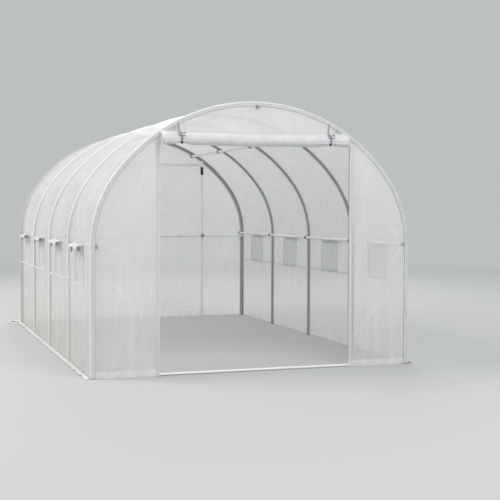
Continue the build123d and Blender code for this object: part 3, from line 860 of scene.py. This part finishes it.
def ribbon(points, wide, width, thickness=tape_thickness, count=40):
    """A flat ribbon along a smooth line: its width lies along wide, as far as the line allows."""
    line = smooth_line(points, count)
    ahead = np.gradient(line, axis=0)
    ahead /= np.linalg.norm(ahead, axis=1, keepdims=True)
    wide = np.broadcast_to(np.asarray(wide, float), line.shape)
    wide = wide - (wide * ahead).sum(axis=1, keepdims=True) * ahead
    wide /= np.linalg.norm(wide, axis=1, keepdims=True)
    thick = np.cross(ahead, wide)
    turn = np.linspace(0, 2 * np.pi, 10, endpoint=False)
    across = width / 2 * np.sign(np.cos(turn)) * np.abs(np.cos(turn)) ** 0.4
    deep = thickness / 2 * np.sign(np.sin(turn)) * np.abs(np.sin(turn)) ** 0.6
    ring = line[:, None] + across[None, :, None] * wide[:, None]
    ring = ring + deep[None, :, None] * thick[:, None]
    run = np.concatenate([[0], np.cumsum(np.linalg.norm(np.diff(line, axis=0), axis=1))])
    flat = stacked(np.linspace(0, 2 * width, 11), run[:, None])
    return surface(ring[:, ::-1], flat, loop=True, capped=True)


def pebble(centre, size):
    """A knot: a ball of 10 by 14 points, squashed to its three half sizes, with soft ridges."""
    level, round_turn = np.linspace(0.05, np.pi - 0.05, 10), np.arange(14) * 2 * np.pi / 14
    tilt, turn = np.meshgrid(level, round_turn, indexing="ij")
    ball = stacked(np.sin(tilt) * np.cos(turn), np.sin(tilt) * np.sin(turn), np.cos(tilt))
    swell = 1 + 0.12 * np.cos(3 * turn + 2 * tilt)
    points = np.asarray(centre) + ball * swell[..., None] * np.asarray(size)
    return surface(points, loop=True, capped=True)


def bow(knot, out, size, lean):
    """A knot's two loops and two ends, their points in sizes along the roll, outwards and up."""
    along = np.cross((0.0, 0.0, 1.0), out)
    axes = size * np.array([along, out, (0.0, 0.0, 1.0)])
    runs = (
        ((0, 0, 0), (0.7, 0.35, 0.7), (1.5, 0.35, 0.5), (1.4, 0.2, -0.2), (0.4, 0.1, -0.2)),
        ((0, 0, 0), (-0.5, 0.35, 0.7), (-1.2, 0.35, 0.7), (-1.2, 0.2, 0.0), (-0.3, 0.1, -0.2)),
        ((0, 0, 0), (0.3, 0.3, -0.7), (0.4 + lean, 0.15, -1.7)),
        ((0, 0, 0), (-0.3, 0.3, -0.6), (-0.5 + lean, 0.15, -1.3)),
    )
    wide = np.asarray(out) + (0.0, 0.0, 0.7)
    return [ribbon(np.array(run) @ axes + knot, wide, 0.8 * tape_width) for run in runs]


def tape_piece(name, tapes, toggles, *nodes):
    """One piece of tapes and toggles, with the toggles marked to be dark."""
    piece = make(name, tapes + toggles)
    marks = np.zeros(len(piece.data.vertices), np.float32)
    marks[len(marks) - sum(len(toggle[0]) for toggle in toggles) :] = 1
    piece.data.attributes.new("fold", "FLOAT", "POINT").data.foreach_set("value", marks)
    return fit(piece, tape, "tie", *nodes)


def on_waist(centre, radius, turn, drift=0.0):
    """A place round a roll's waist, with turn in degrees up from its front."""
    angle = math.radians(turn)
    away = np.array([0.0, -math.cos(angle), math.sin(angle)])
    return centre + radius * away + (drift, 0.0, 0.0)


tape = woven_tape()
tapes, toggles = [], []
waist = pinch_keep * door_radius + 0.0025
waist_y = -(end_y + door_radius * (1 - pinch_settle * (1 - pinch_keep)))
for place, lean in zip(tie_places, (0.010, -0.010)):
    waist_z = door_centre_z - float(door_drop(place - door_centre_x))
    centre = np.array([place, waist_y, waist_z])
    ring = [on_waist(centre, waist, turn) for turn in ring_turns]
    tapes.append(ribbon(ring, (1, 0, 0), tape_width, count=72))
    seam_z = min(seam_top, float(gable_top(place)) - seam_inset)
    seam = np.array([place - lean, -(end_y + 0.0012), seam_z])
    hang = seam + (0.6 * lean, -0.002, hang_level - seam[2])
    led = [seam, hang, *(on_waist(centre, waist + 0.002, turn) for turn in (80, 40, 0, -50))]
    tapes.append(ribbon(led, (1, 0, 0), tape_width, count=60))
    knot = on_waist(centre, waist + 0.004, 42)
    tapes += [*bow(knot, (0.0, -0.8, 0.6), 0.021, 20 * lean), pebble(knot, (0.008, 0.006, 0.007))]
    toggle = on_waist(centre, waist + 0.006, -52, 0.3 * lean)
    toggles.append(pebble(toggle, (0.008, 0.007, 0.010)))
tape_piece("door_tie_tapes", tapes, toggles, "door_ties")


# Post straps: a dark strap of the same weave, wound four times round the top of each rear post.
# The right one shows through the doorway, and the left one repeats it.
strap_radius, strap_low, strap_high = 0.0142, 1.585, 1.672
strap_turns, strap_swell = 4, 0.0007
for name in ("rear_post_left", "rear_post_right"):
    post = middle(name)
    rise, turn = np.linspace(strap_low, strap_high, 33)[:, None], np.arange(24) * np.pi / 12
    wound = np.sin(strap_turns * np.pi * (rise - strap_low) / (strap_high - strap_low))
    swell = strap_radius + strap_swell * np.abs(wound)
    coil = stacked(post[0] + swell * np.cos(turn), post[1] + swell * np.sin(turn), rise)
    tape_piece(f"{name}_strap", [], [surface(coil[::-1], loop=True, capped=True)])


# Apex loop: a short hanger of the same tape under the edge band, in the middle of the front
# gable. It falls 34 mm and comes back up beside itself.
loop_top = np.array([-0.010, -(end_y + 0.0008), tunnel_height - 0.022])
loop_steps = [(0, 0, 0), (3, -4, -14), (4, -6, -28), (-2, -8, -34), (-7, -4, -24), (-5, -1, -6)]
hanger = ribbon(loop_top + 0.001 * np.array(loop_steps), (0, 1, 0.1), 0.008)
fit(make("apex_loop", [hanger]), tape, "tie")


# Windows: an opening in each bay of the side film, edged with a welded frame and closed by a net
# behind it. A flat batten stiffens the film under it, and the flap hangs rolled up above it. A
# short tab hangs from the batten of the third bay on the left.
net_pale, net_dark = "E2E4E3", "C2C5C5"
net_alpha, mesh_pitch, mesh_thread = 0.52, 0.006, 0.0018
net_margin, frame_width, frame_thickness, batten_height = 0.012, 0.012, 0.0007, 0.018
short_batten, long_batten = 0.36, 0.94
flap_length, flap_radius, flap_pitch, flap_turns = 0.340, 0.024, 0.0029, 5.3
roll_level = window_top - 0.009


def insect_net():
    """Knitted polyethylene net, greyer than film. Its 2 mm holes are drawn 6 mm wide to show."""
    material, add = new_material("knitted_polyethylene_net")
    flat = add("UVMap", uv_map="flat")
    place = add("TexCoord", out="Object")
    cloud = add("TexNoise", {"Vector": place, "Scale": 9.0, "Detail": 3.0})
    fold = add("Attribute", out="Fac", attribute_name="fold")
    knit = crossed_threads(add, flat, mesh_pitch, mesh_thread)
    blend = {0: cloud, 6: colour(net_dark), 7: colour(net_pale)}
    tint = add("Mix", blend, 2, data_type="RGBA")
    alpha = net_alpha
    for share, amount in ((knit, 0.18), (fold, 0.2)):
        alpha = add("Math", (share, amount, alpha), operation="MULTIPLY_ADD")
    skin = add("Bump", {"Height": knit, "Strength": 0.3, "Distance": 0.001})
    cloth = {"Base Color": tint, "Normal": skin, "Alpha": alpha, "Roughness": 0.75}
    add("OutputMaterial", {"Surface": add("BsdfPrincipled", cloth)}, None)
    return material


net = insect_net()


def on_cover(girth, y, out):
    """Points that lie on the cover's film, stood off it by out."""
    x, z = arch(girth, cover_out(girth, y)[0] + out)
    return stacked(x, y, z)


def window_net(window_y, side, seed):
    """The net of one window, a little larger than its opening, in soft upright folds."""
    reach = window_length / 2 + net_margin
    net_y = lines_through([window_y - reach, window_y + reach], 0.007)
    net_z = lines_through([window_top - window_height - net_margin, window_top], 0.02)
    z_grid, y_grid = np.meshgrid(net_z, net_y, indexing="ij")
    inside = soft(window_length / 2 - np.abs(y_grid - window_y), 0.0, 0.04)
    sway = ripple(z_grid, y_grid, seed, 1.6, 0.055, count=6) * inside
    points = on_cover(wall_girth(z_grid, side), y_grid, -0.0024 - 0.0035 * np.abs(sway))
    sheet = surface(points[::-side], stacked(z_grid, y_grid)[::-side])
    return sheet, np.clip(sway, 0, 1)[::-side].ravel()


def window_frame(window_y, side):
    """A flat strip round one opening, its inner edge flush with the cut."""
    run = np.linspace(0, 4, 96, endpoint=False)
    first = run.astype(int)
    corner = np.array([(-1, -1), (1, -1), (1, 1), (-1, 1), (-1, -1)])
    square = corner[first] + (corner[first + 1] - corner[first]) * (run - first)[:, None]
    across = np.linspace(-0.001, frame_width, 4)
    frame_y = window_y + square[:, 0, None] * (window_length / 2 + across)
    frame_z = window_top - window_height / 2 + square[:, 1, None] * (window_height / 2 + across)
    points = on_cover(wall_girth(frame_z, side), frame_y, 0.0009)
    return surface(np.swapaxes(points[::side], 0, 1), loop=True)


def window_batten(window_y, side, length, seed):
    """A flat bar under one opening, bowed a little between its ends."""
    batten_y = np.linspace(window_y - length / 2, window_y + length / 2, 9)
    bowed = 0.0015 * ripple(0, batten_y, seed, 1.0, 0.6)
    batten_z = window_top - window_height - batten_height / 2 + bowed
    line = on_cover(wall_girth(batten_z, side), batten_y, 0.0025)
    return ribbon(line, (0, 0, 1), 0.8 * batten_height, 0.003, 60)


def window_flap(window_y, side, radius, tie_at, tilt, seed):
    """The flap of one window, rolled up over its opening, its fold mark and rolled-out length."""
    tail = radius + 0.006
    roll = (flap_length, radius, flap_pitch, flap_turns, tail, [tie_at], 0.024, seed, 0.011, 48)
    along, away, up, flat, mark, run = rolled(*roll)
    x_grid = side * (half_width + away - 0.002)
    points = np.stack([x_grid, window_y + along, roll_level + up + tilt * along], axis=-1)
    sheet = surface(points[:, ::-side], flat[:, ::-side])
    return sheet, mark[:, ::-side].ravel(), run


def window_tie(place_y, side, radius, draw):
    """Tape of one flap: sewn to the wall above it, led round its waist and closed with a bow."""
    waist = pinch_keep * radius + 0.0022
    away = radius * (1 - pinch_settle * (1 - pinch_keep))
    centre = np.array([side * (half_width + away), place_y, roll_level])
    out = np.array([side, 0.0, 0.0])
    turns = np.radians(ring_turns)
    ring = [centre + waist * (math.cos(turn) * out + (0.0, 0.0, math.sin(turn))) for turn in turns]
    seam = np.array([side * (half_width + 0.001), place_y - 0.004, roll_level + 0.050])
    led = [seam, seam + (side * 0.002, 0.003, -0.017), centre + (0.0, 0.0, waist + 0.001)]
    tapes = [ribbon(ring, (0, 1, 0), tape_width, count=48), ribbon(led, (0, 1, 0), tape_width)]
    knot = centre + (waist + 0.003) * out - (0.0, 0.0, 0.006)
    size, lean = draw.uniform(0.012, 0.018), draw.uniform(-0.5, 0.5)
    return [*tapes, pebble(knot, (0.005, 0.007, 0.006)), *bow(knot, out, size, lean)]


for side_name, side in (("left", -1), ("right", 1)):
    nets, net_marks, frames, battens, flaps, flap_marks, tapes = [], [], [], [], [], [], []
    for number, window_y in enumerate(window_places):
        seed = 61 + number + 10 * (side > 0)
        draw = np.random.default_rng(seed)
        net_grid, net_mark = window_net(window_y, side, seed)
        nets.append(net_grid)
        net_marks.append(net_mark)
        frames.append(window_frame(window_y, side))
        batten_length = short_batten if number == 0 else long_batten
        battens.append(window_batten(window_y, side, batten_length, seed))
        radius, tie_at = flap_radius * draw.uniform(0.95, 1.04), draw.uniform(-0.02, 0.02)
        flap = window_flap(window_y, side, radius, tie_at, draw.uniform(-0.03, 0.03), seed)
        flaps.append(flap[0])
        flap_marks.append(flap[1])
        tapes += window_tie(window_y + tie_at, side, radius, draw)
    if side < 0:
        tab_girth = wall_girth(window_top - window_height - 0.004, side)
        tab = on_cover(tab_girth, window_places[2] - 0.1, 0.004)
        tab_line = [tab, tab + (side * 0.002, 0.001, -0.014), tab + (side * 0.003, 0.002, -0.028)]
        battens.append(ribbon(tab_line, (0, 1, 0), 0.016, 0.002))

    net_piece = make(f"{side_name}_window_net_sheets", nets, np.concatenate(net_marks))
    fit(net_piece, net, "net", f"{side_name}_window_nets")
    frame_piece = make(f"{side_name}_window_frames", frames)
    fit(thicken(frame_piece, frame_thickness, 0.0), hem, "hem")
    fit(make(f"{side_name}_window_battens", battens), hem, "hem", f"{side_name}_window_sills")
    flap_piece = make(f"{side_name}_window_flap_rolls", flaps, np.concatenate(flap_marks))
    fit(thicken(flap_piece, roll_thickness, 0.0), hem, "roll", f"{side_name}_window_rolls")
    tape_piece(f"{side_name}_window_tie_tapes", tapes, [], f"{side_name}_window_ties")


# Skirts: the cover's bottom edge, turned outwards and laid on the ground to be weighed down. It
# is rumpled all along, and at the rear corners a loose tongue of it lies forward.
skirt_rumple, skirt_step, skirt_thickness = 0.016, 0.012, 0.001
rear_low, rear_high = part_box("rear_ground_skirt")
tongue_width, rear_width = 0.045, 0.10


def rumpled(run, inner, outer, seed):
    """A strip on the ground between two edge lines, as its run, place across and height.

    The outer edge wanders, and the height is a sum of ripples cut off at the ground, most in the
    middle of the strip.
    """
    run_grid, share = np.meshgrid(run, np.linspace(0, 1, 12), indexing="ij")
    wander = 0.16 * ripple(0 * run, run, seed, 1, 0.22)[:, None] * share - 0.10 * share
    place = inner[:, None] + (outer - inner)[:, None] * np.clip(share + wander, 0, 1)
    ridges = ripple(place, run_grid, seed + 1, 0.12, 0.075)
    ridges = ridges + 0.5 * ripple(place, run_grid, seed + 2, 0.05, 0.03)
    hump = 0.35 + 0.65 * np.sin(np.pi * np.clip(share, 0.08, 0.92))
    return run_grid, place, 0.0015 + skirt_rumple * np.clip(0.55 * ridges + 0.25, 0, 1) * hump


def lay_skirt(side_name, points, flat):
    """Makes one skirt from its grid of points, thickens it and lays it on the ground."""
    skirt = thicken(make(f"{side_name}_skirt_film", [surface(points, flat)]), skirt_thickness)
    fit(skirt, hem, "hem", f"{side_name}_ground_skirt")


for side_name, side in (("left", -1), ("right", 1)):
    skirt_low, skirt_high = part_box(f"{side_name}_ground_skirt")
    near, far = (skirt_low.x, skirt_high.x)[::side]
    run = lines_through([skirt_low.y, skirt_high.y], skirt_step)
    y_grid, x_grid, z_grid = rumpled(run, near + 0 * run, far + 0 * run, 101 + side)
    points, flat = stacked(x_grid, y_grid, z_grid)[::side], stacked(x_grid, y_grid)[::side]
    lay_skirt(side_name, points, flat)

run = lines_through([rear_low.x, rear_high.x], skirt_step)
tongue = np.clip((np.abs(run) - rear_high.x + tongue_width) / tongue_width, 0, 1)
inner = end_y + seam_gap - tongue * (end_y - rear_low.y)
x_grid, y_grid, z_grid = rumpled(run, inner, rear_high.y + 0 * run, 107)
points, flat = stacked(x_grid, y_grid, z_grid), stacked(x_grid, y_grid)
lay_skirt("rear", points, flat)


# Floor, backdrop and lights: a plain pale floor, a pale world and three large soft lamps. The
# floor fades into the world's tone further out, so that no horizon shows.
floor_tone, world_tone = "BCBEBE", "BDC0C1"
floor_half, floor_drop = 60.0, 0.001
floor_fade_from, floor_fade_to = 4.5, 16.0
sky_light, sky_strength = (0.98, 0.985, 1.0, 1.0), 0.62
lamp_aim = (0.0, 0.0, 0.9)


def seen_rays(add):
    """1 for the rays that show a thing to the eye: straight, mirrored or through clear matter."""
    rays = add("LightPath", (), None)
    seen = rays["Is Camera Ray"]
    for kind in ("Is Glossy Ray", "Is Transmission Ray"):
        seen = add("Math", (seen, rays[kind]), operation="MAXIMUM")
    return seen


def pale_floor():
    """Matt pale floor near the tunnel, which fades to the world's tone for the eye further out."""
    material, add = new_material("pale_studio_floor")
    place = add("TexCoord", out="Object")
    away = add("VectorMath", {0: place}, "Value", operation="LENGTH")
    fade = (away, floor_fade_from, floor_fade_to)
    far = add("MapRange", fade, interpolation_type="SMOOTHSTEP")
    share = add("Math", (far, seen_rays(add)), operation="MULTIPLY")
    matt = add("BsdfPrincipled", {"Base Color": colour(floor_tone), "Roughness": 0.9})
    glow = add("Emission", {"Color": colour(world_tone), "Strength": 1.0})
    both = add("MixShader", (share, matt, glow))
    add("OutputMaterial", {"Surface": both}, None)
    return material


floor_mesh = bpy.data.meshes.new("floor")
corners = [(x * floor_half, y * floor_half, 0.0) for x, y in ((-1, -1), (1, -1), (1, 1), (-1, 1))]
floor_mesh.from_pydata(corners, [], [(0, 1, 2, 3)])
floor = bpy.data.objects.new("floor", floor_mesh)
bpy.context.scene.collection.objects.link(floor)
floor.location.z = -floor_drop
floor_mesh.materials.append(pale_floor())

world = bpy.data.worlds.new("studio")
world.use_nodes = True
bpy.context.scene.world = world
world.node_tree.nodes.clear()
add = partial(node, world.node_tree)
light_sky = add("Background", {"Color": sky_light, "Strength": sky_strength})
seen_sky = add("Background", {"Color": colour(world_tone), "Strength": 1.0})
sky = add("MixShader", (seen_rays(add), light_sky, seen_sky))
add("OutputWorld", {"Surface": sky}, None)

lamps = {
    "key_lamp": ((-8.0, 1.0, 8.0), 5.0, 720.0, (1.0, 0.97, 0.92)),
    "fill_lamp": ((1.5, -8.5, 7.5), 6.0, 430.0, (0.99, 0.99, 1.0)),
    "back_lamp": ((3.0, 8.0, 7.0), 6.0, 350.0, (1.0, 1.0, 1.0)),
}
for name, (place, side, power, tone) in lamps.items():
    lamp = bpy.data.lights.new(name, "AREA")
    lamp.size = side
    lamp.energy = power
    lamp.color = tone
    holder = bpy.data.objects.new(name, lamp)
    holder.rotation_euler = (Vector(place) - Vector(lamp_aim)).to_track_quat("Z", "Y").to_euler()
    holder.location = place
    bpy.context.scene.collection.objects.link(holder)

bpy.context.scene.view_settings.view_transform = "Standard"
